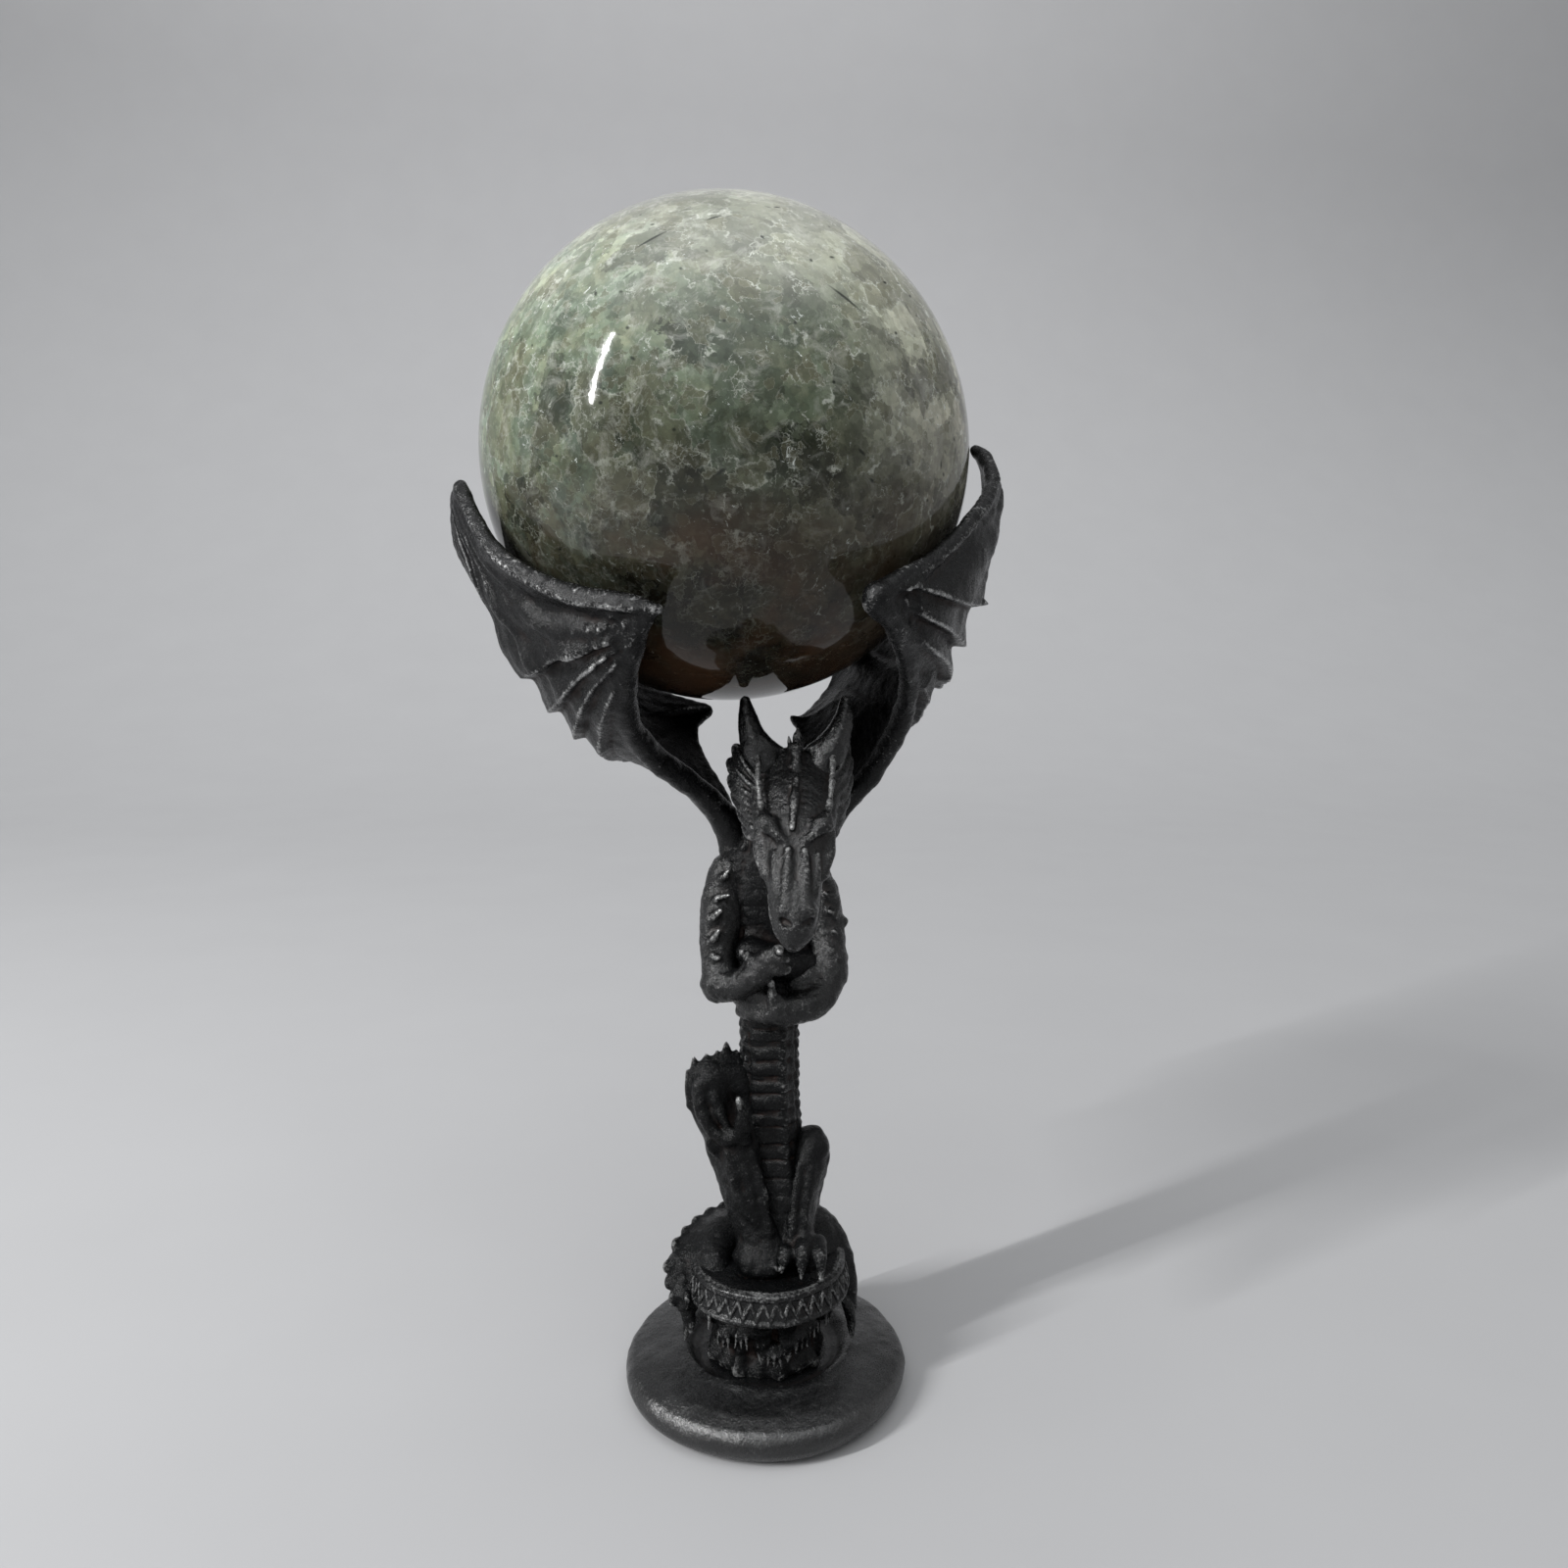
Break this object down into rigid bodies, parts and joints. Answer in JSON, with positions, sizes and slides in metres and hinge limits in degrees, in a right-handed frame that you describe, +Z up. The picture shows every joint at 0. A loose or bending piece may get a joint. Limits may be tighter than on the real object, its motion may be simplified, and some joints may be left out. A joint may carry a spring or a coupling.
{
  "type": "crystal ball on a dragon stand",
  "caption": "Polished green mottled stone ball resting between the raised wings of a slender cast metal dragon that stands on a patterned pedestal and a round domed foot.",
  "frame": {"origin": "centre of the round underside, on the face of the pad that the object stands on", "axes": "+Z up; the dragon faces -Y; +X is to the right of someone looking at the dragon's face"},
  "size_m": [0.0783, 0.07, 0.1752],
  "materials": {
    "cast_metal": "blackened cast metal, satin, worn to bare metal on ridges and edges",
    "stone": "polished stone, mottled grey green with pale veins and fine dark needles",
    "pad": "matt soft foam pad",
    "steel": "plain zinc plated"
  },
  "bodies": {
    "stand": {"base_pad": "pad", "tie_screw": "steel", "tie_washer": "steel", "base_disc": "cast_metal", "pedestal_drum": "cast_metal", "zigzag_ring": "cast_metal", "tail": "cast_metal", "torso": "cast_metal", "left_leg": "cast_metal", "right_leg": "cast_metal", "left_arm": "cast_metal", "right_arm": "cast_metal", "head": "cast_metal", "left_horn": "cast_metal", "right_horn": "cast_metal", "left_wing": "cast_metal", "right_wing": "cast_metal"},
    "ball": {"crystal_ball": "stone"}
  },
  "joints": [
    {"name": "ball_lift", "type": "slide", "parent": "stand", "child": "ball", "axis": [0, 0, 1], "range_m": [0, 0.045]}
  ]
}
